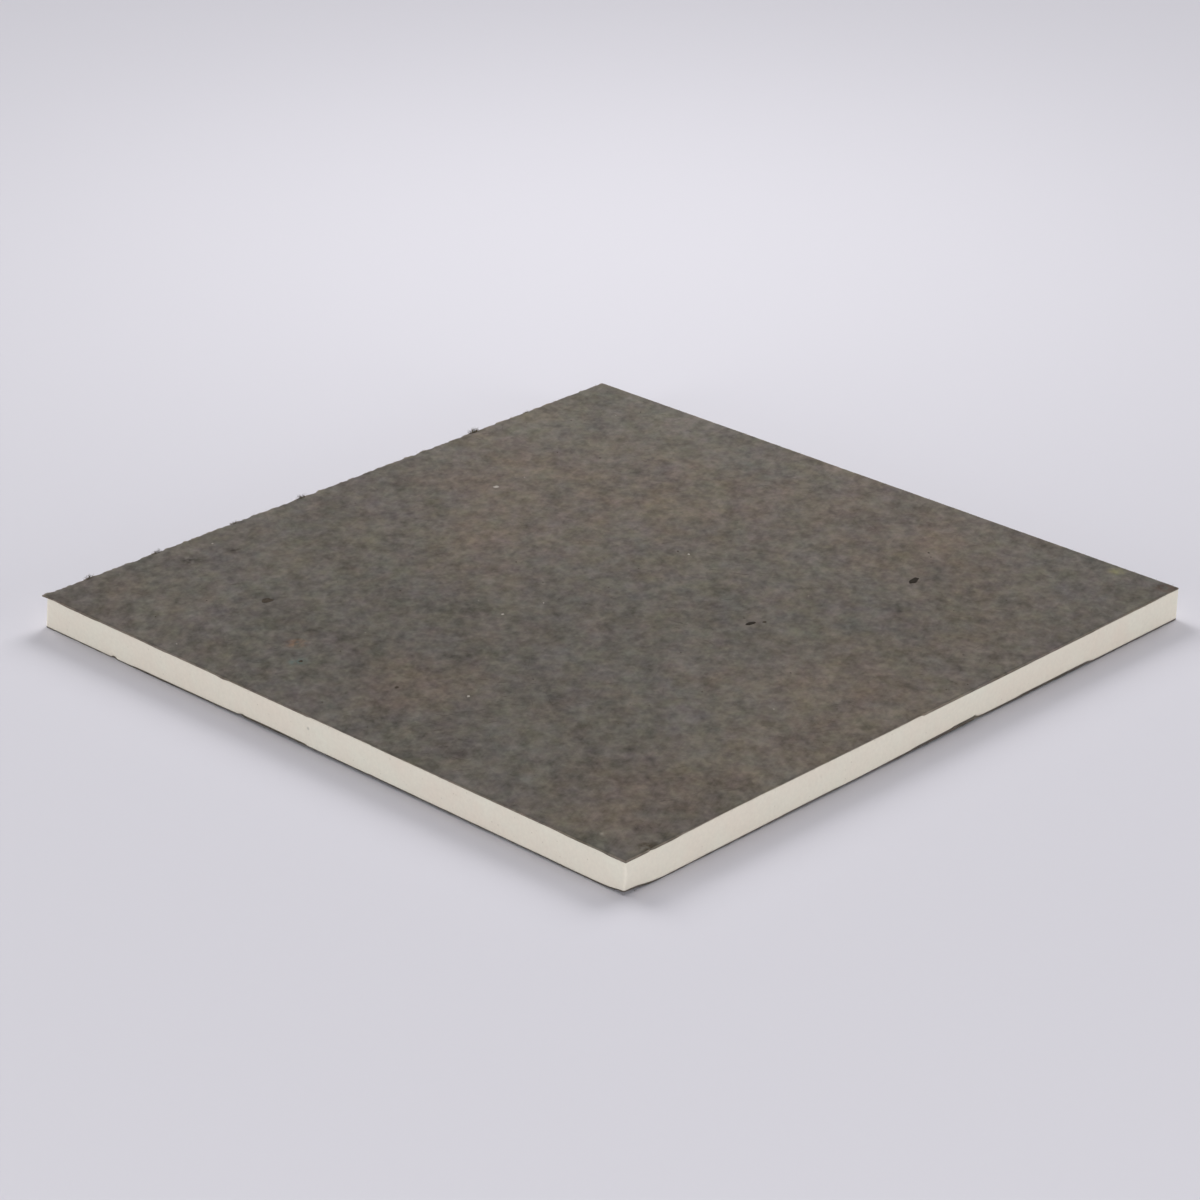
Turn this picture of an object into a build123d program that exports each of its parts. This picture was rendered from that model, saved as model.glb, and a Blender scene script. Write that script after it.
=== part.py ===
from build123d import *
import os

# A sample square of polyiso cover board: a rigid closed-cell foam core with a thin felt facer bonded to each face.
# Sizes are in millimetres. The origin is at the centre of the underside, with Z up and X and Y along the sides.
# Seen from the front corner at low X and low Y, the left corner is at high Y and the right corner at high X.

# The laminate
board_length = 304.8  # along X
board_width = 304.8  # along Y
board_thickness = 13.4
facer_thickness = 0.6

# The two near sides were cut with a leaning blade. Each value is how far the underside stops short of the top,
# and the lean changes along a side, from the front corner to the far one.
left_side_undercut_at_front = 0.1
left_side_undercut_at_left = 0.3
right_side_undercut_at_front = 0.1
right_side_undercut_at_right = 0.3

# Corner radii. The facer keeps its corners better than the brittle foam. At the left corner the foam is knocked
# back under the upper facer, whose tip stands out over it.
facer_front_radius = 0.4
facer_right_radius = 0.4
facer_back_radius = 1.6
facer_left_radius = 0.3
core_front_radius = 1.0
core_right_radius = 0.6
core_back_radius = 2.4
core_left_radius = 0.5
core_left_radius_under_tip = 3.5

# Chips out of the lower arris, where the blade was set again. A chip is a shallow wedge, deepest at one end.
chip_height = 1.5
left_side_chip_length = 3.6
left_side_chip_depth = 0.5
left_side_chips_from_left_corner = (38.5, 109.9)
right_side_chip_length = 6.5
right_side_chip_depth = 0.45
right_side_chip_from_right_corner = 123.0

# A gouge in the rim of the top facer near the front corner
gouge_length = 2.8
gouge_depth = 0.4
gouge_from_front_corner = 11.2

# Heights of the two glue lines between foam and facers
lower_bond = facer_thickness
upper_bond = board_thickness - facer_thickness


def corners_at(height):
    """The four corners of the trimmed board at a height, in the order front, right, back, left."""
    drop = (board_thickness - height) / board_thickness
    low_x = -board_length / 2
    low_y = -board_width / 2
    high_x = board_length / 2
    high_y = board_width / 2
    front = (low_x + drop * left_side_undercut_at_front, low_y + drop * right_side_undercut_at_front)
    right = (high_x, low_y + drop * right_side_undercut_at_right)
    back = (high_x, high_y)
    left = (low_x + drop * left_side_undercut_at_left, high_y)
    return front, right, back, left


def section(height, radii):
    """The board's outline at a height, with a radius at each corner."""
    rim = FilletPolyline(*corners_at(height), radius=radii, close=True)
    return Pos(0, 0, height) * make_face(rim)


def layer(bottom, top, bottom_radii, top_radii):
    """One layer of the laminate, following the leaning cuts from its bottom to its top."""
    return loft([section(bottom, bottom_radii), section(top, top_radii)], ruled=True)


def wedge(length, depth, height):
    """A cutter that lies along X, enters towards high Y and is deepest a third of the way along."""
    nib = make_face(Polyline((0, -depth), (length, -depth), (length, 0), (length / 3, depth), (0, 0), close=True))
    return extrude(nib, height)


def left_side_chips():
    """The chips in the lower arris of the side from the front corner to the left one."""
    chips = []
    for from_corner in left_side_chips_from_left_corner:
        foot = Vector(*corners_at(0)[3]) - Vector(0, from_corner)
        cutter = wedge(left_side_chip_length, left_side_chip_depth, chip_height)
        chips.append(Pos(foot) * Rot(0, 0, -90) * cutter)
    return chips


def right_side_chip():
    """The chip in the lower arris of the side from the front corner to the right one."""
    front, right = corners_at(0)[:2]
    share = right_side_chip_from_right_corner / board_length
    foot = Vector(*right) + (Vector(*front) - Vector(*right)) * share
    return Pos(foot) * wedge(right_side_chip_length, right_side_chip_depth, chip_height)


def foam_core():
    """The rigid foam plate between the two glue lines."""
    low_radii = [core_front_radius, core_right_radius, core_back_radius, core_left_radius]
    high_radii = [core_front_radius, core_right_radius, core_back_radius, core_left_radius_under_tip]
    return layer(lower_bond, upper_bond, low_radii, high_radii) - left_side_chips() - right_side_chip()


def bottom_facer():
    """The felt under the foam, trimmed and chipped with it."""
    radii = [core_front_radius, core_right_radius, core_back_radius, core_left_radius]
    return layer(0, lower_bond, radii, radii) - left_side_chips() - right_side_chip()


def top_facer():
    """The felt over the foam, with the gouge in its rim."""
    radii = [facer_front_radius, facer_right_radius, facer_back_radius, facer_left_radius]
    sheet = layer(upper_bond, board_thickness, radii, radii)
    front = Vector(*corners_at(board_thickness)[0])
    gouge = wedge(gouge_length, gouge_depth, board_thickness)
    return sheet - Pos(front + Vector(gouge_from_front_corner, 0)) * gouge


parts = {
    "foam_core": foam_core(),
    "bottom_facer": bottom_facer(),
    "top_facer": top_facer(),
}

os.makedirs("parts", exist_ok=True)
for name, part in parts.items():
    part.label = name
    export_step(part, f"parts/{name}.step")
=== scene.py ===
import math
import random

import bmesh
import bpy
from mathutils import Matrix, Vector, noise
from mathutils.bvhtree import BVHTree
from mathutils.kdtree import KDTree


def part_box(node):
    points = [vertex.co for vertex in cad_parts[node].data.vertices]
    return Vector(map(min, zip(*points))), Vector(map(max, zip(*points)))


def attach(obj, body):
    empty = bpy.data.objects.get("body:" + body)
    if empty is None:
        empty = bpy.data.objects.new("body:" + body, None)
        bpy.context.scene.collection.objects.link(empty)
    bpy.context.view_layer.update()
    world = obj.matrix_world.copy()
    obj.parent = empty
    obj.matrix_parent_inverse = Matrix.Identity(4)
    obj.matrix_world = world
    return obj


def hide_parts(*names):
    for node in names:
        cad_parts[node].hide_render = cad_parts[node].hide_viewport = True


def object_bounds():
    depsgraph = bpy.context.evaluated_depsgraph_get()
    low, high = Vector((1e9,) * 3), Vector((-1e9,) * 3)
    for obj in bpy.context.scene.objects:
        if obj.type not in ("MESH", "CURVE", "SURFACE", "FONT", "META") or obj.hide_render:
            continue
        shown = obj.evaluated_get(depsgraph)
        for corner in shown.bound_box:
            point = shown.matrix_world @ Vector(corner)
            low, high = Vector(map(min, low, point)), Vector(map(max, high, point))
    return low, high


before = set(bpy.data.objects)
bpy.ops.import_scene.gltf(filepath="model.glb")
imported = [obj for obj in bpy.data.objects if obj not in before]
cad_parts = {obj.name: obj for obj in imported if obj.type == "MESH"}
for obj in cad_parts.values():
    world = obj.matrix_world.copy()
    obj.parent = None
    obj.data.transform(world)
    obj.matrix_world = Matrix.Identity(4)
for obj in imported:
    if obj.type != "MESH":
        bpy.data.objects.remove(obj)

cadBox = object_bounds()     # the solids' own box
mm = 0.001
boardLow, boardHigh = cadBox
half = (boardHigh - boardLow) / 2
feltTop = boardHigh.z
print("frame loaded, board", [round(side / mm, 2) for side in boardHigh - boardLow], "mm")


# Shader shorthand

def screenColour(red, green, blue):
    # a colour as it looks on screen, 0 to 255, to the linear numbers that a socket takes
    def linear(level):
        level /= 255
        return level / 12.92 if level <= 0.04045 else ((level + 0.055) / 1.055) ** 2.4
    return (linear(red), linear(green), linear(blue), 1.0)


def put(tree, kind, sockets=None, **settings):
    node = tree.nodes.new("ShaderNode" + kind)
    for name, value in settings.items():
        setattr(node, name, value)
    for name, value in (sockets or {}).items():
        if isinstance(value, bpy.types.NodeSocket):
            tree.links.new(value, node.inputs[name])
        else:
            node.inputs[name].default_value = value
    return node


def maths(tree, operation, first, second=0.0, clamp=False):
    return put(tree, "Math", {0: first, 1: second}, operation=operation, use_clamp=clamp).outputs[0]


def noiseAt(tree, place, blob, detail=2.0, rough=0.5, twist=0.0):
    # blob is the width of one noise cell, in metres
    grain = {"Scale": 1 / blob, "Detail": detail, "Roughness": rough, "Distortion": twist}
    return put(tree, "TexNoise", {"Vector": place, **grain}).outputs[0]


def centred(tree, value):
    # a noise that runs from 0 to 1, moved to run about 0
    return maths(tree, "SUBTRACT", value, 0.5)


def addedTo(tree, total, value, times):
    return maths(tree, "ADD", maths(tree, "MULTIPLY", value, times), total)


def turned(tree, place, angle, stretch=(1, 1, 1), shift=(0, 0, 0)):
    # the pattern is drawn out by stretch, then turned by the angle
    setting = {"Rotation": (0, 0, math.radians(angle)), "Scale": stretch, "Location": shift}
    return put(tree, "Mapping", {"Vector": place, **setting}, vector_type="TEXTURE").outputs[0]


def awayFrom(tree, place, spot):
    return put(tree, "VectorMath", {0: place, 1: spot}, operation="DISTANCE").outputs["Value"]


def mixed(tree, factor, first, second, blend="MIX"):
    sockets = {0: factor, 6: first, 7: second}
    return put(tree, "Mix", sockets, data_type="RGBA", blend_type=blend).outputs[2]


def ranged(tree, value, low, high, toLow=0.0, toHigh=1.0, smooth=False):
    sockets = {"Value": value, "From Min": low, "From Max": high, "To Min": toLow, "To Max": toHigh}
    kind = "SMOOTHSTEP" if smooth else "LINEAR"
    return put(tree, "MapRange", sockets, interpolation_type=kind).outputs[0]


def bumped(tree, shader, strength, deep, height):
    bump = put(tree, "Bump", {"Strength": strength, "Distance": deep, "Height": height})
    tree.links.new(bump.outputs[0], shader.inputs["Normal"])


def newMaterial(name):
    material = bpy.data.materials.new(name)
    material.use_nodes = True
    tree = material.node_tree
    shader = tree.nodes["Principled BSDF"]
    place = put(tree, "TexCoord").outputs["Object"]
    return material, tree, shader, place


# Felt: grey-brown pulp and fibre, cloudy at the width of a hand and mottled at the width of a fibre clump

feltLook = {
    "brown": screenColour(98.8, 89.7, 81),
    "grey": screenColour(93.3, 88.3, 81.6),
    "upperRimPaintedLight": screenColour(124, 115, 104),    # painted light: the cut edge of the upper sheet is made lighter, against the shade on its upright face
    "lowerRimPaintedShade": screenColour(82, 76, 69),       # painted shade: that of the lower one is made darker, for the shade along it at the table
    "rimPaintWidth": 0.4 * mm,
    "rimPaintStrength": 0.9,
    "roughness": (0.86, 0.98),
    "specular": 0.06,
    "cloud": (55 * mm, 1.6),     # width and strength of the noise that breaks up the warm patches
    "warmEdge": (0.1, 0.9),      # all grey below the first, and all brown above the second
    "drawn": (1.22, 1, 1),       # the mat is drawn out a little, along one diagonal
    "patternAt": (1.9, 2.7, 1.3),
    # width in millimetres, then strength
    "mottles": [(60, 0.38), (22, 0.38), (9, 0.62), (4.2, 0.89), (2.0, 0.64), (0.9, 0.13)],
    "mauve": (12 * mm, 0.18),    # mauve against olive, width and strength
    "mauveInGreen": 0.43,        # the part of it that the green loses
    "straw": (15 * mm, 0.34),    # yellow against blue
    "strawInRed": 0.35,          # the part of it that the red gains
    "fibreLength": 6 * mm,
    "fibreWidth": 0.55 * mm,
    "fibreTurns": (-24, 21, 66, 111, 152),
    "fibreDepth": 0.185,
    "spotNotch": 2.6 * mm,        # the width of the notches in the edge of a spot
    "napWidth": 0.45 * mm,
    "napHeight": 0.12 * mm,
    "fibreInNap": 0.5,
    "bump": 0.28,
}
# Where the felt runs warmer, and where it is paler or darker: the centre's x and y and the reach, all in
# millimetres, then how much
warmPatches = [(40, 90, 125, 0.7), (115, 5, 90, 0.5), (20, -125, 115, 0.72), (-105, -10, 45, 0.72),
               (-130, 120, 40, 0.3), (-120, -130, 60, 0.5), (-70, -135, 50, 0.6), (120, -70, 60, 0.6)]
# The first, wide over the far corner, is painted sheen from the lights behind; the rest are the felt's own
# tone
sheenAndTonePatches = [(150, 150, 190, 0.20), (11, -136, 65, 0.15), (-118, -118, 70, -0.06),
               (-140, 10, 150, -0.07), (-125, -75, 50, -0.08), (-80, -30, 50, -0.04), (-76, 74, 90, -0.03),
               (72, -72, 60, -0.06), (20, 65, 90, 0.10), (128, -58, 75, 0.12), (80, -128, 45, 0.08)]
# Spots of other colours in it: x, y and width in millimetres, then the colour
spotsOfColour = [(-124.6, 40.0, 5, (70, 86, 84)), (148.1, -126.1, 5, (112, 108, 84)),
            (-114.5, 51.8, 6, (116, 92, 74)), (149.2, -148.4, 7, (84, 66, 58)),
            (142.6, -133.1, 5, (112, 106, 98)), (-143.9, -133.8, 2, (122, 117, 109)),
            (-92.4, 137.1, 7, (54, 50, 44)), (-74.1, 131.8, 5, (52, 48, 42)),
            # the last is a dark brown mark at the edge near the front corner
            (-140.1, -151.0, 6, (48, 36, 22))]


def nearness(tree, place, x, y, reach):
    # 1 at a spot on the face, fading to 0 at the reach
    away = awayFrom(tree, place, (x * mm, y * mm, feltTop))
    return ranged(tree, away, 0, reach * mm, 1, 0, smooth=True)


def feltWarmth(tree, place, mat):
    # 0 where the felt is grey and 1 where it is brown
    width, strength = feltLook["cloud"]
    cloud = centred(tree, noiseAt(tree, mat, width, detail=3, rough=0.55))
    warmth = maths(tree, "MULTIPLY", cloud, strength)
    for x, y, reach, much in warmPatches:
        warmth = addedTo(tree, warmth, nearness(tree, place, x, y, reach), much)
    return ranged(tree, warmth, *feltLook["warmEdge"], smooth=True)


def feltFibres(tree, mat):
    # hair-like noise, laid down in several directions
    width = feltLook["fibreWidth"]
    drawnOut = (feltLook["fibreLength"] / width, 1, 1)
    fibres = 0.0
    for angle in feltLook["fibreTurns"]:
        along = turned(tree, mat, angle, drawnOut, shift=(angle * mm, 0.2, 0))
        hair = noiseAt(tree, along, width, detail=2, rough=0.6, twist=0.6)
        fibres = maths(tree, "ADD", centred(tree, hair), fibres)
    return fibres


def feltToneAndSheen(tree, place, mat, fibres):
    # how pale the felt is, from the width of a palm down to single fibres, with painted sheen towards the far
    # corner
    tone = 1.0
    for x, y, reach, much in sheenAndTonePatches:
        tone = addedTo(tree, tone, nearness(tree, place, x, y, reach), much)
    for blob, depth in feltLook["mottles"]:
        mottle = noiseAt(tree, mat, blob * mm, detail=1.5, rough=0.5, twist=0.3)
        tone = addedTo(tree, tone, centred(tree, mottle), depth)
    return addedTo(tree, tone, fibres, feltLook["fibreDepth"])


def feltShade(tree, mat, tone):
    # the tone in red, green and blue, tinted mauve against olive and straw against blue
    tints = []
    for number, (blob, depth) in enumerate((feltLook["mauve"], feltLook["straw"])):
        moved = turned(tree, mat, 90 * number, shift=(0.3 + number, 0.7, 0.1))
        tint = centred(tree, noiseAt(tree, moved, blob, detail=2.4, rough=0.85))
        tints.append(maths(tree, "MULTIPLY", tint, depth))
    mauve, straw = tints
    red = addedTo(tree, maths(tree, "ADD", 1.0, mauve), straw, feltLook["strawInRed"])
    green = addedTo(tree, 1.0, mauve, -feltLook["mauveInGreen"])
    blue = maths(tree, "ADD", 1.0, maths(tree, "SUBTRACT", mauve, straw))
    tinted = [maths(tree, "MULTIPLY", tone, share) for share in (red, green, blue)]
    return put(tree, "CombineColor", dict(enumerate(tinted))).outputs[0]


def feltRimPaint(tree, place):
    # how near the cut edge is, and the colour painted there: lighter on the upper sheet against the shade on
    # its upright face, darker on the lower one as painted shade at the table
    sides = put(tree, "SeparateXYZ", {0: place}).outputs
    gapX = maths(tree, "SUBTRACT", half.x, maths(tree, "ABSOLUTE", sides[0]))
    gapY = maths(tree, "SUBTRACT", half.y, maths(tree, "ABSOLUTE", sides[1]))
    gap = maths(tree, "MINIMUM", gapX, gapY)
    near = ranged(tree, gap, 0, feltLook["rimPaintWidth"], feltLook["rimPaintStrength"], 0)
    above = maths(tree, "GREATER_THAN", sides[2], feltTop / 2)
    return near, mixed(tree, above, feltLook["lowerRimPaintedShade"], feltLook["upperRimPaintedLight"])


def feltMaterial():
    material, tree, shader, place = newMaterial("grey_brown_felt")
    look = feltLook
    mat = turned(tree, place, 45, look["drawn"], look["patternAt"])
    fibres = feltFibres(tree, mat)
    colour = mixed(tree, feltWarmth(tree, place, mat), look["grey"], look["brown"])
    notches = ranged(tree, noiseAt(tree, mat, look["spotNotch"], detail=2, rough=0.5), 0.3, 0.6)
    for x, y, width, spotColour in spotsOfColour:
        near = maths(tree, "MULTIPLY", nearness(tree, place, x, y, width), notches)
        colour = mixed(tree, near, colour, screenColour(*spotColour))
    # the cut edges get their painted light above and their painted shade below
    near, rimPaint = feltRimPaint(tree, place)
    colour = mixed(tree, near, colour, rimPaint)
    shade = feltShade(tree, mat, feltToneAndSheen(tree, place, mat, fibres))
    tree.links.new(mixed(tree, 1.0, colour, shade, "MULTIPLY"), shader.inputs["Base Color"])
    # the nap makes the bump, and a roughness that isn't even
    fine = noiseAt(tree, mat, look["napWidth"], detail=3, rough=0.6)
    tree.links.new(ranged(tree, fine, 0.3, 0.7, *look["roughness"]), shader.inputs["Roughness"])
    nap = addedTo(tree, fine, fibres, look["fibreInNap"])
    bumped(tree, shader, look["bump"], look["napHeight"], nap)
    shader.inputs["Specular IOR Level"].default_value = look["specular"]
    return material


# Foam: cream, matt, with cells too fine to see one by one and a few torn ones that show as dots of painted
# shade

foamLook = {
    "cream": screenColour(223, 214, 200),
    "pale": screenColour(223, 219, 205),
    "drift": 16 * mm,            # from the one to the other
    "grain": 1.4 * mm,
    "grainTone": (0.965, 1.035),
    "cell": 0.28 * mm,
    # painted shade in the hollows of the torn cells
    "tornShade": screenColour(176, 167, 150),
    "tornShadeStrength": 0.5,
    "tornSpacing": 3.1 * mm,
    "tornSize": (0.05, 0.11),    # from full strength to none, in shares of the spacing
    "tornAbove": 0.72,           # each cell draws from 0 to 1, and only those above this are torn
    "speck": (-152.3, 4.0, 8.3, 0.9),       # x, y, z and reach in millimetres of one grey speck
    "speckCore": 0.2,            # the part of its reach that is at full strength
    "speckStrength": 0.45,
    "speckColour": screenColour(128, 124, 118),
    "roughness": 0.92,
    "specular": 0.1,
    "bump": 0.4,
    "bumpHeight": 0.1 * mm,
    "cellInBump": 0.6,
    "grainInBump": 0.8,
}


def tornCells(tree, place):
    look = foamLook
    cells = put(tree, "TexVoronoi", {"Vector": place, "Scale": 1 / look["tornSpacing"]}).outputs
    dot = ranged(tree, cells["Distance"], *look["tornSize"], 1, 0)
    draw = put(tree, "SeparateColor", {0: cells["Color"]}).outputs[0]
    return maths(tree, "MULTIPLY", dot, maths(tree, "GREATER_THAN", draw, look["tornAbove"]))


def foamMaterial():
    material, tree, shader, place = newMaterial("cream_foam")
    look = foamLook
    drift = noiseAt(tree, place, look["drift"], detail=3, rough=0.6)
    colour = mixed(tree, ranged(tree, drift, 0.3, 0.7), look["cream"], look["pale"])
    grain = noiseAt(tree, place, look["grain"], detail=3, rough=0.6)
    tone = ranged(tree, grain, 0.25, 0.75, *look["grainTone"])
    shade = put(tree, "CombineColor", {0: tone, 1: tone, 2: tone}).outputs[0]
    colour = mixed(tree, 1.0, colour, shade, "MULTIPLY")
    # the torn cells are painted darker, as shade in their hollows, and sunk in the bump further down
    tornShade = tornCells(tree, place)
    colour = mixed(tree, maths(tree, "MULTIPLY", tornShade, look["tornShadeStrength"]), colour, look["tornShade"])
    *spot, reach = [value * mm for value in look["speck"]]
    core = look["speckCore"] * reach
    near = ranged(tree, awayFrom(tree, place, spot), core, reach, look["speckStrength"], 0)
    colour = mixed(tree, near, colour, look["speckColour"])
    tree.links.new(colour, shader.inputs["Base Color"])
    cells = put(tree, "TexVoronoi", {"Vector": place, "Scale": 1 / look["cell"]}).outputs["Distance"]
    height = maths(tree, "MULTIPLY", cells, look["cellInBump"])
    height = addedTo(tree, height, grain, look["grainInBump"])
    height = maths(tree, "SUBTRACT", height, tornShade)
    bumped(tree, shader, look["bump"], look["bumpHeight"], height)
    shader.inputs["Roughness"].default_value = look["roughness"]
    shader.inputs["Specular IOR Level"].default_value = look["specular"]
    return material


# The small things in and on the felt: two tones each, mixed by a fine grain

smallLook = {
    "bump": 0.4,
    "bumpHeight": 0.05 * mm,
    "specular": 0.05,
    # the dark tone and the light one, the grain's width in millimetres, and the roughness
    "finishes": {
        "bark_dark": ((28, 23, 18), (42, 36, 29), 0.6, 0.8),
        "bark_brown": ((52, 45, 37), (70, 62, 53), 0.6, 0.8),
        "paper_pale": ((138, 131, 122), (172, 165, 156), 0.5, 0.85),
        "fibre_grey": ((84, 78, 70), (106, 98, 88), 0.8, 0.8),
        "fibre_straw": ((98, 90, 79), (116, 107, 95), 0.8, 0.8),
        "fibre_tuft": ((92, 85, 72), (122, 113, 97), 0.8, 0.8),
        "fibre_dark": ((60, 55, 48), (76, 70, 62), 0.8, 0.8),
    },
}


def smallMaterial(name, dark, light, blob, roughness):
    material, tree, shader, place = newMaterial(name)
    grain = noiseAt(tree, place, blob * mm, detail=3, rough=0.6)
    colour = mixed(tree, ranged(tree, grain, 0.35, 0.65), screenColour(*dark), screenColour(*light))
    tree.links.new(colour, shader.inputs["Base Color"])
    bumped(tree, shader, smallLook["bump"], smallLook["bumpHeight"], grain)
    shader.inputs["Roughness"].default_value = roughness
    shader.inputs["Specular IOR Level"].default_value = smallLook["specular"]
    return material


felt = feltMaterial()
foam = foamMaterial()
small = {name: smallMaterial(name, *finish) for name, finish in smallLook["finishes"].items()}
print("materials made")


# Shaping shorthand

def finishPiece(name, bm, material, smooth=True):
    bmesh.ops.recalc_face_normals(bm, faces=bm.faces)
    mesh = bpy.data.meshes.new(name)
    bm.to_mesh(mesh)
    bm.free()
    mesh.materials.append(material)
    if smooth:
        mesh.shade_smooth()
    return addPiece(name, mesh)


def addPiece(name, mesh):
    piece = bpy.data.objects.new(name, mesh)
    bpy.context.scene.collection.objects.link(piece)
    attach(piece, "root")
    return piece


def readSolid(node):
    # a solid's faces, to cast rays onto, and the heights that it lies between
    bm = bmesh.new()
    bm.from_mesh(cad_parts[node].data)
    tree = BVHTree.FromBMesh(bm)
    bm.free()
    low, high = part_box(node)
    return {"tree": tree, "heights": (low.z, high.z)}


def grainAt(spot, size):
    return noise.fractal(spot / size, 0.7, 2.0, 3)      # falloff, step and number of octaves


outline = {
    "cornerReach": 8 * mm,       # how far from a corner the way in turns towards the corner's own hub
    "wander": 0.08 * mm,         # no hand cuts dead straight
    "wanderLength": 42 * mm,
    "wanderSlice": 0.5,          # where the noise is cut for it
    "searchFrom": 3 * mm,        # the ray that finds a cut face starts this far outside it
    "searchLength": 12 * mm,
    "shallow": 0.02 * mm,        # and no nearer to the solid's top or bottom than this
    "nearSide": 4 * mm,          # what lies this close to a near side belongs to its edge
}


def wayIn(spot):
    # straight in from a side, and towards a hub in each corner
    reach = outline["cornerReach"]
    hubX = max(-half.x + reach, min(half.x - reach, spot.x))
    hubY = max(-half.y + reach, min(half.y - reach, spot.y))
    return Vector((hubX - spot.x, hubY - spot.y, 0)).normalized()


def ontoCut(solid, spot):
    # the point of the solid's cut face that lies straight in from a spot on the outline
    low, high = solid["heights"]
    shallow = outline["shallow"]
    level = max(low + shallow, min(high - shallow, spot.z))
    start = Vector((spot.x, spot.y, level))
    heading = wayIn(start)
    outside = start - heading * outline["searchFrom"]
    hit = solid["tree"].ray_cast(outside, heading, outline["searchLength"])[0]
    if hit is None:
        return spot
    along = Vector((spot.x, spot.y, outline["wanderSlice"])) / outline["wanderLength"]
    return Vector((hit.x, hit.y, spot.z)) + heading * outline["wander"] * noise.noise(along)


# The lower front corner has been set down hard: it is pushed in and up a little, for about a finger's width
knock = {
    "reach": (9 * mm, 7 * mm),
    "height": 7 * mm,
    "fade": 1.5,
    "push": (0.2 * mm, 1.1 * mm),
    "lift": 0.85 * mm,
}


def knocked(spot):
    alongX = (spot.x + half.x) / knock["reach"][0]
    alongY = (spot.y + half.y) / knock["reach"][1]
    share = math.exp(-alongX ** 2 - alongY ** 2) * max(0, 1 - spot.z / knock["height"]) ** knock["fade"]
    pushX, pushY = knock["push"]
    return spot + Vector((pushX, pushY, knock["lift"])) * share


# How far the blade smeared each layer up or down along the two near sides, in pairs of a place along the side
# and a rise there, in millimetres. Right is the side that faces -Y, read along X, and left the one that
# faces -X, read along Y. The lift is how far the rim of the underside is off the table.
cutLines = {
    "upperRight": [(-152, -0.3), (-130, -0.3), (-124, 0), (-112, 0.1), (-104, 0.3), (-82, 0.3), (-76, 0.2),
                   (-10, 0.2), (-3, 0.3), (0, 0.28), (1.5, -0.25), (58, -0.3), (66, -0.18), (98, -0.18),
                   (104, 0), (134, 0), (144, 0.2), (152, 0.1)],
    "upperLeft": [(-152, -0.3), (-145, -0.4), (-141, -0.1), (-126, -0.2), (-118, 0.05), (-66, 0.05),
                  (-60, 0.15), (-34, 0.1), (-27, 0.3), (2, 0.32), (4.5, -0.02), (46, 0), (50, -0.38),
                  (54, -0.05), (76, 0), (84, -0.15), (96, 0), (118, 0), (124, -0.2), (138, -0.2),
                  (146, 0.15), (152, 0.1)],
    "lowerRight": [(-152, 0.15), (-146, 0.5), (-141.5, 0.2), (-138.5, 0), (-134, -0.15), (-110, 0),
                   (-76, 0.2), (-69, 0.35), (-46, 0.38), (-42, 0.25), (-32, 0.25), (-28, 0.35), (-8, 0.55),
                   (-1, 0.95), (14, 1.1), (22, 1.45), (30.5, 1.5), (33.5, 0.55), (54, 0.5), (59, 0.75),
                   (96, 0.8), (101, 0.05), (152, 0)],
    "lowerLeft": [(-152, 0.15), (-146, 0), (-130, 0.05), (-110, 0.25), (-56, 0.4), (-48, 0.5), (-34, 0.55),
                  (-29, 0.65), (-25, 0.5), (4, 0.5), (6.5, 0.85), (26, 0.97), (40, 0.85), (42, 0.4),
                  (54, 0.25), (58, 0.25), (98, 0.1), (104, -0.2), (110.8, -0.2), (111.6, 0.15),
                  (113.2, 0.15), (114, -0.2), (152, -0.2)],
    "liftRight": [(-152, 0.1), (-136, 0), (-110, 0.15), (-60, 0.4), (31, 0.5), (50, 0.3), (96, 0.3),
                  (104, 0.05), (152, 0)],
    "liftLeft": [(-152, 0.1), (-136, 0.15), (-110, 0.5), (-20, 0.75), (40, 0.75), (56, 0.4), (90, 0),
                 (152, 0)],
    "bleed": 3 * mm,         # how far a rise carries into the foam
    "liftReach": 9 * mm,     # and how far a lift carries in under the board
    "farRise": 0.1 * mm,     # the two far sides only wave a little
    "farWave": 16 * mm,
}


def lineAt(name, spot):
    # the rise of one of the lines above at a spot on the outline, eased between the places given
    if spot.y < -half.y + outline["nearSide"]:
        pairs, place = cutLines[name + "Right"], spot.x / mm
    elif spot.x < -half.x + outline["nearSide"]:
        pairs, place = cutLines[name + "Left"], spot.y / mm
    else:
        return cutLines["farRise"] * noise.noise(spot / cutLines["farWave"])
    for (near, low), (far, high) in zip(pairs, pairs[1:]):
        if place <= far:
            share = max(0, (place - near) / (far - near))
            return mm * (low + (high - low) * share * share * (3 - 2 * share))
    return mm * pairs[-1][1]


# The two felt sheets: a fine net over the face that shows, a ragged cut edge, and a plain face at the bond

topSheet = {
    "name": "felt_top",
    "node": "top_facer",
    "faceUp": True,
    "step": 1.3 * mm,
    "swell": 0.05 * mm,
    "swellSize": 36 * mm,
    "nap": 0.035 * mm,
    "napSize": 3.0 * mm,
    "rollOff": 0.10 * mm,
    "rollWidth": 0.7 * mm,
    "rag": 0.10 * mm,
    "ragFarLeft": 0.7 * mm,
    "ragSize": 2.8 * mm,
}
underSheet = {
    "name": "felt_under",
    "node": "bottom_facer",
    "faceUp": False,
    "step": 2.0 * mm,
    "swell": 0.02 * mm,
    "swellSize": 30 * mm,
    "nap": 0.03 * mm,
    "napSize": 3.4 * mm,
    "rollOff": 0.06 * mm,
    "rollWidth": 0.7 * mm,
    "rag": 0.16 * mm,
    "ragFarLeft": 0.30 * mm,
    "ragSize": 3.2 * mm,
}
crest = 0.6         # swells stand level with the solid's face from this part of their height up
ragAtBond = 0.6     # how much of the raggedness at the face is left at the bond


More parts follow.
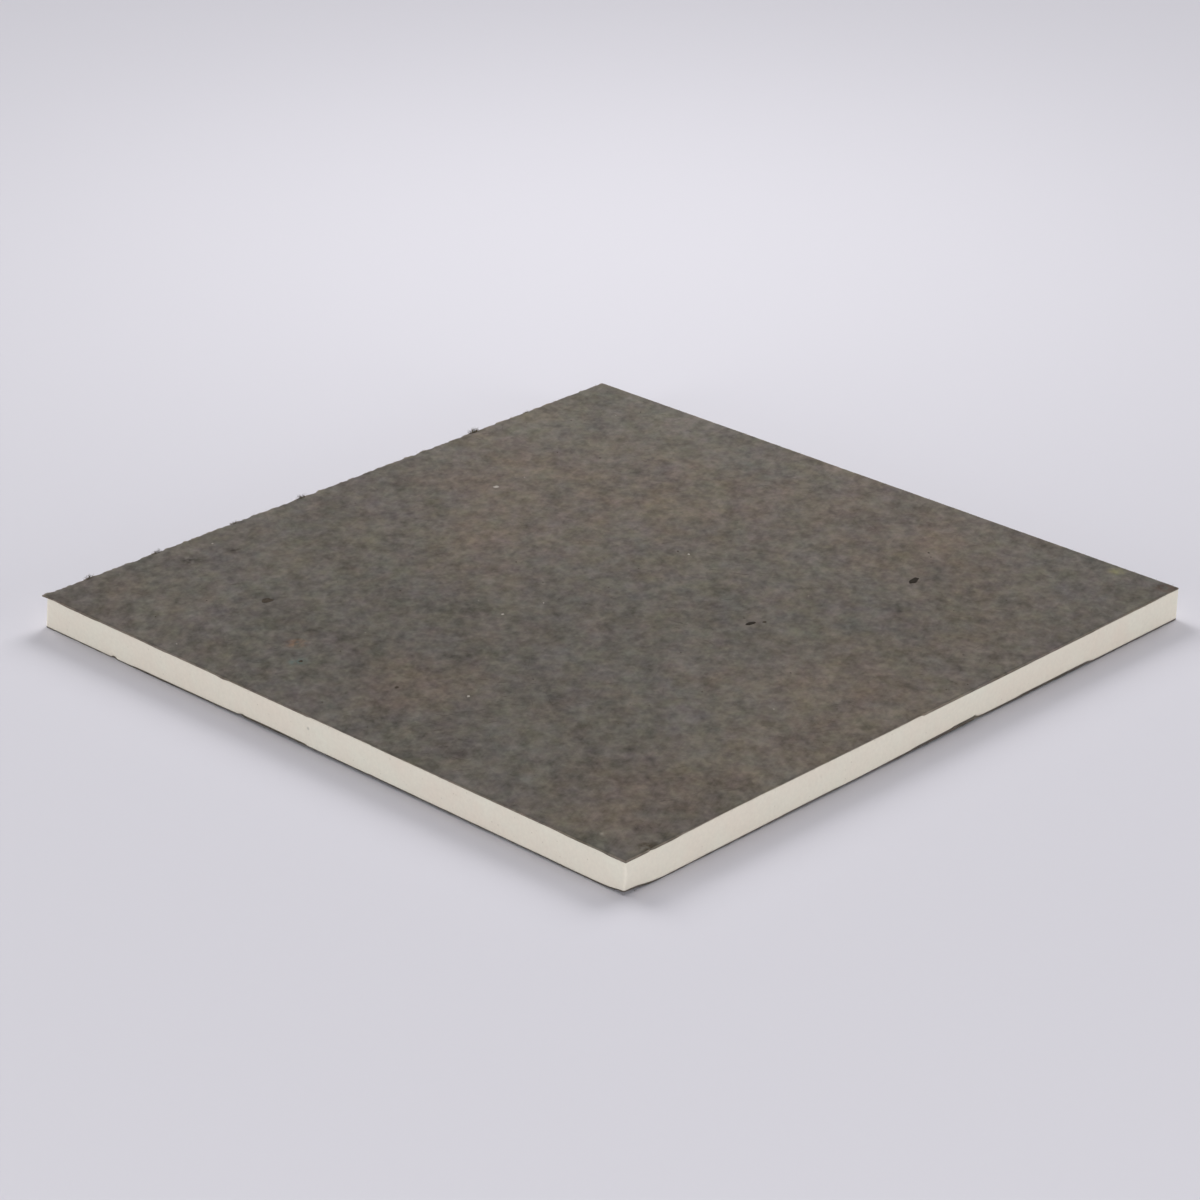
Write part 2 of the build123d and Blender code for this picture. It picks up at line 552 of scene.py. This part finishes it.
def ragged(sheet, spot, heading):
    farLeft = heading.y < -0.7
    depth = sheet["ragFarLeft"] if farLeft else sheet["rag"]
    return spot - heading * depth * grainAt(spot + Vector((0, 0, sheet["step"])), sheet["ragSize"])


tip = {
    "draw": (-0.7 * mm, 0.7 * mm),
    "curl": 0.12 * mm,
    "reach": 3.5 * mm,
}


def drawnTip(spot):
    # the upper sheet's left corner has been drawn out by the blade and curls up a hair
    away = Vector((spot.x + half.x, spot.y - half.y, 0)).length
    share = math.exp(-(away / tip["reach"]) ** 2)
    return spot + Vector((*tip["draw"], tip["curl"])) * share


def nearestRim(spot):
    # the spot moved straight out to whichever near side is closer
    if spot.x + half.x < spot.y + half.y:
        clear = outline["nearSide"] + 0.1 * mm
        return Vector((-half.x, max(spot.y, clear - half.y), spot.z))
    return Vector((spot.x, -half.y, spot.z))


def pick(kind, geometry):
    return [part for part in geometry if isinstance(part, kind)]


def closeBond(bm, loop, level):
    # behind the smeared rim the layer slopes to the flat bond, which one face closes
    ring = bmesh.ops.extrude_edge_only(bm, edges=loop)["geom"]
    for vert in pick(bmesh.types.BMVert, ring):
        inside = vert.co + wayIn(vert.co) * cutLines["bleed"]
        vert.co = Vector((inside.x, inside.y, level))
    bmesh.ops.contextual_create(bm, geom=pick(bmesh.types.BMEdge, ring))


def feltNet(sheet, level):
    # a flat net as large as the board, with a finer rim
    bm = bmesh.new()
    count = round(2 * half.x / sheet["step"])
    bmesh.ops.create_grid(bm, x_segments=count, y_segments=count, size=half.x)
    bmesh.ops.scale(bm, vec=(1, half.y / half.x, 1), verts=bm.verts)
    bmesh.ops.translate(bm, vec=(0, 0, level), verts=bm.verts)
    bmesh.ops.subdivide_edges(bm, edges=[edge for edge in bm.edges if edge.is_boundary], cuts=2)
    return bm


def feltSheet(sheet):
    solid = readSolid(sheet["node"])
    low, high = solid["heights"]
    shown, hidden = (high, low) if sheet["faceUp"] else (low, high)
    inwards = -1 if sheet["faceUp"] else 1
    liftReach = cutLines["liftReach"]
    bm = feltNet(sheet, shown)
    for vert in bm.verts:
        spot = vert.co.copy()
        edgeGap = min(half.x - abs(spot.x), half.y - abs(spot.y))
        swell = sheet["swell"] * noise.noise(spot / sheet["swellSize"])
        swell += sheet["nap"] * grainAt(spot, sheet["napSize"])
        if vert.is_boundary:
            spot = ragged(sheet, ontoCut(solid, spot), wayIn(spot))
        sunk = max(0, sheet["swell"] * crest - swell)
        sunk += sheet["rollOff"] * math.exp(-edgeGap / sheet["rollWidth"])
        if not sheet["faceUp"] and edgeGap < liftReach and spot.x + spot.y < 0:
            sunk += max(0, lineAt("lift", nearestRim(spot))) * (1 - edgeGap / liftReach) ** 2
        vert.co = Vector((spot.x, spot.y, shown + inwards * sunk))
    rim = [edge for edge in bm.edges if edge.is_boundary]
    wall = bmesh.ops.extrude_edge_only(bm, edges=rim)["geom"]
    for vert in pick(bmesh.types.BMVert, wall):
        spot = ontoCut(solid, Vector((vert.co.x, vert.co.y, hidden)))
        facing = Vector((spot.x, spot.y, shown))
        away = (ragged(sheet, facing, wayIn(spot)) - facing) * ragAtBond
        rise = lineAt("upper" if sheet["faceUp"] else "lower", spot)
        vert.co = Vector((spot.x + away.x, spot.y + away.y, hidden + rise))
    closeBond(bm, pick(bmesh.types.BMEdge, wall), hidden)
    for vert in bm.verts:
        vert.co = drawnTip(vert.co) if sheet["faceUp"] else knocked(vert.co)
    piece = finishPiece(sheet["name"], bm, felt)
    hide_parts(sheet["node"])


for sheet in (topSheet, underSheet):
    feltSheet(sheet)
print("felt sheets laid")


# The foam plate: one strip of fine net wrapped round the four cut faces, closed above and below

foamPlate = {
    "node": "foam_core",
    "step": 0.52 * mm,
    "ripple": 0.05 * mm,     # left by the blade, in waves along the cut
    "rippleSize": 9 * mm,
    "rippleDrawn": 0.25,     # the waves run this much slower up the face than along it
    "grain": 0.03 * mm,
    "grainSize": 1.6 * mm,
    "rimSlack": 0.05 * mm,   # the brittle arris stands this far behind the felt
    "rimFade": 0.5 * mm,
    "weld": 0.01 * mm,       # where the strip's two ends meet
    "pits": 150,
    "pitMargins": (1 * mm, 0.8 * mm),
    "pitRadius": (0.35 * mm, 0.9 * mm),
    "pitDepth": (0.05 * mm, 0.2 * mm),
    "seed": 11,
}


def squareSpot(share, height):
    # a place on the board's square outline, a share of the way round from the front corner
    corners = [(-half.x, -half.y), (half.x, -half.y), (half.x, half.y), (-half.x, half.y)]
    side = min(3, int(share * 4))
    along = share * 4 - side
    startX, startY = corners[side]
    endX, endY = corners[(side + 1) % 4]
    return Vector((startX + (endX - startX) * along, startY + (endY - startY) * along, height))


def foamStrip(plate, solid):
    # a flat strip as long as the outline, wrapped round onto the cut faces
    low, high = solid["heights"]
    bm = bmesh.new()
    columns = 4 * round((half.x + half.y) / plate["step"])
    rows = round((high - low) / plate["step"])
    bmesh.ops.create_grid(bm, x_segments=columns, y_segments=rows, size=0.5)
    for vert in bm.verts:
        share = min(1, max(0, vert.co.x + 0.5))
        spot = ontoCut(solid, squareSpot(share, low + (high - low) * (vert.co.y + 0.5)))
        heading = wayIn(spot)
        wave = Vector((spot.x, spot.y, spot.z * plate["rippleDrawn"])) / plate["rippleSize"]
        depth = plate["ripple"] * noise.noise(wave) + plate["grain"] * grainAt(spot, plate["grainSize"])
        rim = min(spot.z - low, high - spot.z)
        depth = max(depth, 0) + plate["rimSlack"] * math.exp(-rim / plate["rimFade"])
        bleed = cutLines["bleed"]
        spot.z += lineAt("lower", spot) * max(0, 1 - (spot.z - low) / bleed)
        spot.z += lineAt("upper", spot) * max(0, 1 - (high - spot.z) / bleed)
        vert.co = spot + heading * depth
    bmesh.ops.remove_doubles(bm, verts=bm.verts, dist=plate["weld"])
    return bm


def tearPits(bm, plate, solid):
    low, high = solid["heights"]
    above, below = plate["pitMargins"]
    rng = random.Random(plate["seed"])
    bm.verts.ensure_lookup_table()
    near = KDTree(len(bm.verts))
    for vert in bm.verts:
        near.insert(vert.co, vert.index)
    near.balance()
    for _ in range(plate["pits"]):
        middle = ontoCut(solid, squareSpot(rng.random(), rng.uniform(low + above, high - below)))
        radius = rng.uniform(*plate["pitRadius"])
        depth = rng.uniform(*plate["pitDepth"])
        for spot, index, gap in near.find_range(middle, radius):
            bm.verts[index].co += wayIn(spot) * depth * (1 - (gap / radius) ** 2)


def foamCore(plate):
    solid = readSolid(plate["node"])
    bm = foamStrip(plate, solid)
    tearPits(bm, plate, solid)
    low, high = solid["heights"]
    openRim = [edge for edge in bm.edges if edge.is_boundary]
    for level in (low, high):
        loop = [edge for edge in openRim if (edge.verts[0].co.z > (low + high) / 2) == (level == high)]
        closeBond(bm, loop, level)
    for vert in bm.verts:
        vert.co = knocked(vert.co)
    piece = finishPiece("foam_plate", bm, foam)
    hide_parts(plate["node"])


foamCore(foamPlate)
print("foam plate cut")


# Flecks pressed into the felt: larger ones where the real board has them, and tiny crumbs scattered about

flecks = {
    "thickness": 0.14 * mm,
    "sunk": 0.05 * mm,
    "sides": 18,
    "taper": 0.86,
    "wobble": 0.3,                # how far an outline strays from an oval, and in how many waves
    "wobbleWaves": 1.3,
    "crumbLength": (0.35, 0.85),
    "crumbWidth": (0.4, 0.9),     # in shares of the length
    "spread": 0.98,               # crumbs fall on this much of the face's half width
    # finish, number of crumbs and seed, then each fleck's x, y, length and width in millimetres and its turn
    "kinds": {
        "dark_flecks": ("bark_dark", 6, 5, [(87.4, -75.5, 6.6, 2.9, 15), (15.1, -56.9, 4.4, 2.2, -15)]),
        "brown_flecks": ("bark_brown", 36, 7, [
            (19.6, -59.7, 1.7, 1.2, -30), (-96.5, 88.0, 4.6, 4.2, -13), (-114.4, -1.9, 1.9, 1.5, 30),
            (-123.8, 39.2, 2.0, 1.5, 20)]),
        "pale_flecks": ("paper_pale", 9, 6, [
            (40.6, 104.0, 2.6, 2.2, 10), (-101.5, -25.8, 1.5, 1.0, 40), (-43.6, 15.3, 1.3, 0.9, 0),
            (45.5, 2.9, 1.2, 0.9, 70)]),
    },
}


def pressFleck(bm, x, y, length, width, turn, rng):
    middle = Vector((x * mm, y * mm, feltTop - flecks["sunk"]))
    place = Matrix.Translation(middle) @ Matrix.Rotation(math.radians(turn), 4, "Z")
    place = place @ Matrix.Diagonal((length / 2 * mm, width / 2 * mm, 1, 1))
    thick = flecks["thickness"]
    upright = Matrix.Translation((0, 0, thick / 2))
    chip = bmesh.ops.create_cone(bm, cap_ends=True, segments=flecks["sides"], radius1=1,
                                 radius2=flecks["taper"], depth=thick, matrix=upright)["verts"]
    phase = Vector((rng.random(), rng.random(), rng.random())) * 50
    for vert in chip:
        around = Vector((vert.co.x, vert.co.y, 0)).normalized()
        swell = 1 + flecks["wobble"] * noise.noise(around * flecks["wobbleWaves"] + phase)
        vert.co.x *= swell
        vert.co.y *= swell
    bmesh.ops.transform(bm, matrix=place, verts=chip)


def fleckPiece(name, finish, crumbs, seed, places):
    rng = random.Random(seed)
    bm = bmesh.new()
    for place in places:
        pressFleck(bm, *place, rng)
    spread = flecks["spread"]
    for _ in range(crumbs):
        length = rng.uniform(*flecks["crumbLength"])
        x = rng.uniform(-spread, spread) * half.x / mm
        y = rng.uniform(-spread, spread) * half.y / mm
        width = length * rng.uniform(*flecks["crumbWidth"])
        pressFleck(bm, x, y, length, width, rng.uniform(0, 180), rng)
    finishPiece(name, bm, small[finish], smooth=False)


for name, kind in flecks["kinds"].items():
    fleckPiece(name, *kind)
print("flecks pressed in")


# Loose fibres: fuzz along the cut edges, tufts where the blade pulled, and strands lying on the face

fuzz = {
    "radius": 0.032 * mm,
    "perSide": 260,
    "reach": (0.3 * mm, 1.1 * mm),
    "inset": (0.05 * mm, 0.1 * mm),      # from the felt's lower and upper face
    "farLeft": (0.5, 0.75),              # that side's part of the outline, which is the shaggiest
    "farLeftExtra": 420,
    "farLeftReach": (0.4 * mm, 1.5 * mm),
    "rooted": 0.5 * mm,
    "outwards": 1.6,                     # against the spread of its tilt sideways and of its rise
    "tilt": 0.8,
    "rise": (0.05, 0.35),
    "bend": 16,
    "joints": 4,
    "seed": 3,
}
tufts = {
    "radius": 0.06 * mm,
    "spread": 1.1 * mm,
    "lean": 1.1,             # the spread sideways, against the ranges of the way out and the way up
    "out": (0.1, 0.9),
    "up": (0.2, 1.2),
    "reach": (0.45, 1.0),    # in shares of the tuft's height
    "bend": 20,
    # on the far left edge: place along it and height in millimetres, and number of strands
    "at": [(75.2, 2.0, 110), (-21.0, 1.5, 70), (-57.6, 1.0, 40), (-96.6, 1.4, 60), (-130.6, 1.7, 60),
           (46.0, 0.7, 24), (106.0, 0.7, 24)],
}
lying = {
    "length": (2.0 * mm, 8 * mm),
    "bend": 28,
    "joints": 5,
    "spread": 0.97,
    "margin": 1 * mm,        # to the edge of the board
    "sunk": 0.02 * mm,
    "seed": 8,
    # each kind's number, radius and finish
    "kinds": {
        "lying_fibres_grey": (405, 0.035 * mm, "fibre_grey"),
        "lying_fibres_straw": (225, 0.028 * mm, "fibre_straw"),
        "lying_fibres_dark": (270, 0.035 * mm, "fibre_dark"),
    },
}
strandTaper = 0.6            # how much of its radius a strand loses by its end


def bentRun(start, heading, length, joints, bend, rng):
    # points along a strand that turns a little at every joint
    points = [start.copy()]
    way = heading.normalized()
    for _ in range(joints):
        axis = Vector((rng.gauss(0, 1), rng.gauss(0, 1), rng.gauss(0, 1)))
        way = Matrix.Rotation(math.radians(rng.gauss(0, bend)), 3, axis) @ way
        points.append(points[-1] + way * length / joints)
    return points


def strandPiece(name, runs, radius, finish):
    curve = bpy.data.curves.new(name + "_line", "CURVE")
    curve.dimensions = "3D"
    curve.bevel_depth = radius
    curve.bevel_resolution = 0
    curve.use_fill_caps = True
    for run in runs:
        last = len(run) - 1
        spline = curve.splines.new("POLY")
        spline.points.add(last)
        for number, (point, spot) in enumerate(zip(spline.points, run)):
            point.co = (*spot, 1)
            point.radius = 1 - strandTaper * number / last
    holder = bpy.data.objects.new(name + "_line", curve)
    bpy.context.scene.collection.objects.link(holder)
    graph = bpy.context.evaluated_depsgraph_get()
    mesh = bpy.data.meshes.new_from_object(holder.evaluated_get(graph))
    bpy.data.objects.remove(holder)
    mesh.name = name
    mesh.materials.clear()
    mesh.materials.append(small[finish])
    mesh.shade_smooth()
    addPiece(name, mesh)


def edgeRuns(solid, rng):
    low, high = solid["heights"]
    fromLow, fromHigh = fuzz["inset"]
    runs = []
    plans = [(rng.random(), fuzz["reach"]) for _ in range(4 * fuzz["perSide"])]
    plans += [(rng.uniform(*fuzz["farLeft"]), fuzz["farLeftReach"]) for _ in range(fuzz["farLeftExtra"])]
    for share, reach in plans:
        foot = ontoCut(solid, squareSpot(share, rng.uniform(low + fromLow, high - fromHigh)))
        inside = wayIn(foot)
        tilt = Vector((rng.gauss(0, fuzz["tilt"]), rng.gauss(0, fuzz["tilt"]), rng.gauss(*fuzz["rise"])))
        heading = tilt - inside * fuzz["outwards"]
        length = fuzz["rooted"] + rng.uniform(*reach) * rng.random()
        start = foot + inside * fuzz["rooted"]
        runs.append(bentRun(start, heading, length, fuzz["joints"], fuzz["bend"], rng))
    return runs


def tuftRuns(solid, rng):
    low, high = solid["heights"]
    runs = []
    for along, height, strands in tufts["at"]:
        for _ in range(strands):
            x = along * mm + rng.gauss(0, tufts["spread"])
            foot = ontoCut(solid, Vector((x, half.y, rng.uniform(low, high))))
            start = foot + wayIn(foot) * fuzz["rooted"]
            way = (rng.gauss(0, tufts["lean"]), rng.uniform(*tufts["out"]), rng.uniform(*tufts["up"]))
            length = fuzz["rooted"] + height * mm * rng.uniform(*tufts["reach"])
            runs.append(bentRun(start, Vector(way), length, fuzz["joints"], tufts["bend"], rng))
    return runs


def lyingRuns(count, rng):
    spread = lying["spread"]
    farX = half.x - lying["margin"]
    farY = half.y - lying["margin"]
    runs = []
    for _ in range(count):
        start = Vector((rng.uniform(-spread, spread) * half.x, rng.uniform(-spread, spread) * half.y, 0))
        turn = rng.uniform(0, 2 * math.pi)
        heading = Vector((math.cos(turn), math.sin(turn), 0))
        length = rng.uniform(*lying["length"])
        run = bentRun(start, heading, length, lying["joints"], lying["bend"], rng)
        for spot in run:
            spot.x = max(-farX, min(farX, spot.x))
            spot.y = max(-farY, min(farY, spot.y))
            spot.z = feltTop - lying["sunk"]
        runs.append(run)
    return runs


topSolid = readSolid("top_facer")
underSolid = readSolid("bottom_facer")
rng = random.Random(fuzz["seed"])
strandPiece("edge_fuzz_top", edgeRuns(topSolid, rng), fuzz["radius"], "fibre_grey")
strandPiece("edge_tufts", tuftRuns(topSolid, rng), tufts["radius"], "fibre_tuft")
tableGap = 2 * fuzz["radius"]        # the fuzz underneath clears the table by this much
underRuns = [run for run in edgeRuns(underSolid, rng) if min(spot.z for spot in run) > tableGap]
strandPiece("edge_fuzz_under", underRuns, fuzz["radius"], "fibre_grey")
rng = random.Random(lying["seed"])
for name, (count, radius, finish) in lying["kinds"].items():
    strandPiece(name, lyingRuns(count, rng), radius, finish)
print("fibres strewn")


# Studio: a plain pale floor, a soft light from behind on either side, low fills from the sides and the front,
# and a glow on the floor behind the board. Headings are in degrees from +Y towards +X, heights in degrees
# above the floor, and sizes and distances in metres.

studio = {
    "floor": screenColour(206, 204, 210),
    "floorDim": 0.985,       # the darker tone of its faint haze
    "floorHaze": 0.5,
    "floorRoughness": 0.9,
    "floorSpecular": 0.15,
    "floorRadius": 14.0,
    "world": 0.12,
    "worldTint": (0.92, 0.94, 1.08, 1),
    "sky": screenColour(226, 225, 231),
    "backLights": {"strength": 1.75, "softness": 34, "away": 3.0, "headings": (7, 81), "height": 37},
    "sideFills": {"power": 44.0, "size": 1.5, "away": 3.0, "headings": (170, 282), "height": 6},
    "frontFill": {"power": 5.6, "size": 0.5, "away": 1.8, "headings": (226,), "height": 22},
    "glow": {"power": 0.82, "size": 0.5, "over": (46, 0.45), "hangs": 0.42},    # heading, then distances
}


def floorMaterial():
    material, tree, shader, place = newMaterial("pale_floor")
    haze = noiseAt(tree, place, studio["floorHaze"], detail=2, rough=0.5)
    *floor, opaque = studio["floor"]
    dim = (*[level * studio["floorDim"] for level in floor], opaque)
    tree.links.new(mixed(tree, haze, dim, studio["floor"]), shader.inputs["Base Color"])
    shader.inputs["Roughness"].default_value = studio["floorRoughness"]
    shader.inputs["Specular IOR Level"].default_value = studio["floorSpecular"]
    return material


def layFloor():
    bm = bmesh.new()
    bmesh.ops.create_circle(bm, cap_ends=True, segments=96, radius=studio["floorRadius"])
    mesh = bpy.data.meshes.new("floor")
    bm.to_mesh(mesh)
    bm.free()
    mesh.materials.append(floorMaterial())
    floor = bpy.data.objects.new("floor", mesh)
    bpy.context.scene.collection.objects.link(floor)


def fromAbout(heading, height, away, target):
    # a place seen from the target at a heading and a height
    turn, rise = math.radians(heading), math.radians(height)
    level = math.cos(rise)
    return target + away * Vector((math.sin(turn) * level, math.cos(turn) * level, math.sin(rise)))


def aimed(thing, place, target):
    thing.location = place
    thing.rotation_euler = (target - place).to_track_quat("-Z", "Y").to_euler()
    bpy.context.scene.collection.objects.link(thing)


def softbox(name, box, place, target):
    lamp = bpy.data.lights.new(name, "AREA")
    lamp.energy = box["power"]
    lamp.shape = "DISK"
    lamp.size = box["size"]
    hung = bpy.data.objects.new(name, lamp)
    hung.visible_camera = False
    aimed(hung, place, target)


def hangLights():
    middle = Vector((0, 0, feltTop))
    back = studio["backLights"]
    for heading in back["headings"]:
        lamp = bpy.data.lights.new("back_light", "SUN")
        lamp.energy = back["strength"]
        lamp.angle = math.radians(back["softness"])
        hung = bpy.data.objects.new("back_light", lamp)
        aimed(hung, fromAbout(heading, back["height"], back["away"], middle), middle)
    for fills in (studio["sideFills"], studio["frontFill"]):
        for heading in fills["headings"]:
            place = fromAbout(heading, fills["height"], fills["away"], middle)
            softbox("fill_%d" % heading, fills, place, middle)
    glow = studio["glow"]
    pool = fromAbout(glow["over"][0], 0, glow["over"][1], Vector((0, 0, 0)))
    softbox("floor_glow", glow, pool + Vector((0, 0, glow["hangs"])), pool)


def lightWorld():
    # a dim even light on the board, and a pale sky wherever the world itself is seen
    world = bpy.data.worlds.new("studio")
    world.use_nodes = True
    bpy.context.scene.world = world
    tree = world.node_tree
    rays = put(tree, "LightPath").outputs
    seen = maths(tree, "ADD", rays["Is Camera Ray"], rays["Is Glossy Ray"])
    seen = maths(tree, "ADD", seen, rays["Is Transmission Ray"], clamp=True)
    light = {"Color": studio["worldTint"], "Strength": studio["world"]}
    sky = {"Color": studio["sky"], "Strength": 1.0}
    sources = [put(tree, "Background", sockets).outputs[0] for sockets in (light, sky)]
    both = put(tree, "MixShader", {0: seen, 1: sources[0], 2: sources[1]}).outputs[0]
    tree.links.new(both, tree.nodes["World Output"].inputs["Surface"])
    bpy.context.scene.view_settings.view_transform = "Standard"


# The camera stands where the photograph was taken from: its axis meets the board's top face at the aim
view = {
    "aim": (-8.98 * mm, -1.98 * mm),
    "away": 1.5268,
    "heading": 225.991,
    "height": 24.591,
    "roll": 0.036,
    "lens": 121.28,
    "sensor": 36,
    "clip": (0.05, 60),
}


def placeCamera():
    lens = bpy.data.cameras.new("camera")
    lens.lens = view["lens"]
    lens.sensor_width = view["sensor"]
    lens.clip_start, lens.clip_end = view["clip"]
    camera = bpy.data.objects.new("camera", lens)
    target = Vector((*view["aim"], feltTop))
    aimed(camera, fromAbout(view["heading"], view["height"], view["away"], target), target)
    camera.rotation_euler.rotate_axis("Z", math.radians(view["roll"]))
    bpy.context.scene.camera = camera


layFloor()
hangLights()
lightWorld()
placeCamera()
print("studio set")
